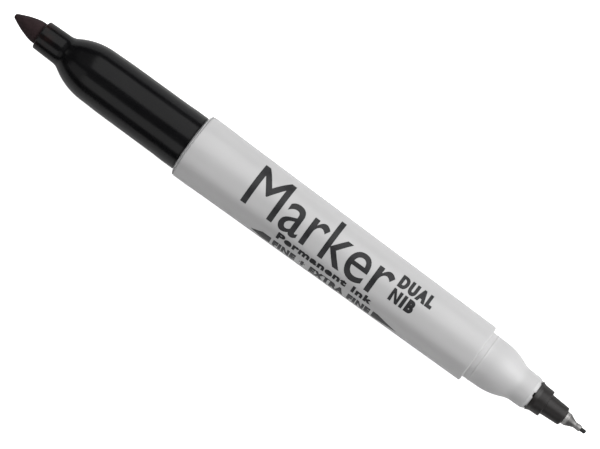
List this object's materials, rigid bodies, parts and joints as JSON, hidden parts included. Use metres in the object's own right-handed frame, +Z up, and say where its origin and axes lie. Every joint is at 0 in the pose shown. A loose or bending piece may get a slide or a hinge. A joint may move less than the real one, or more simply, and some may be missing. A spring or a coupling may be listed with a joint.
{
  "type": "felt tip marker",
  "caption": "Uncapped twin tip felt marker: grey tapered barrel, black grip with a bullet nib at one end, metal-clad ultra fine point at the other.",
  "frame": {"origin": "under the middle of the marker's length, at the height of the surface that the barrel's mouth rests on", "axes": "+X along the marker's axis towards the ultra fine point, +Z up from the surface, +Y across"},
  "size_m": [0.1252, 0.0126, 0.0127],
  "materials": {
    "barrel_plastic": "light grey moulded plastic, satin, with dark grey printing",
    "section_plastic": "black moulded plastic, glossy",
    "nib_felt": "bonded fibre, dark with ink, matt",
    "reservoir_fibre": "soft bonded fibre, full of ink",
    "reservoir_wrap": "thin clear film",
    "holder_plastic": "black moulded plastic, satin",
    "ferrule_steel": "drawn stainless steel tube, fine lengthwise lines",
    "point_fibre": "hard extruded fibre, black with ink",
    "print_ink": "dark grey screen-printed ink on the barrel"
  },
  "bodies": {
    "root": {"barrel": "barrel_plastic", "fine_section": "section_plastic", "fine_nib": "nib_felt", "reservoir_core": "reservoir_fibre", "reservoir_film": "reservoir_wrap", "point_wick": "reservoir_fibre", "point_holder": "holder_plastic", "point_ferrule": "ferrule_steel", "ultra_fine_point": "point_fibre"}
  },
  "joints": []
}
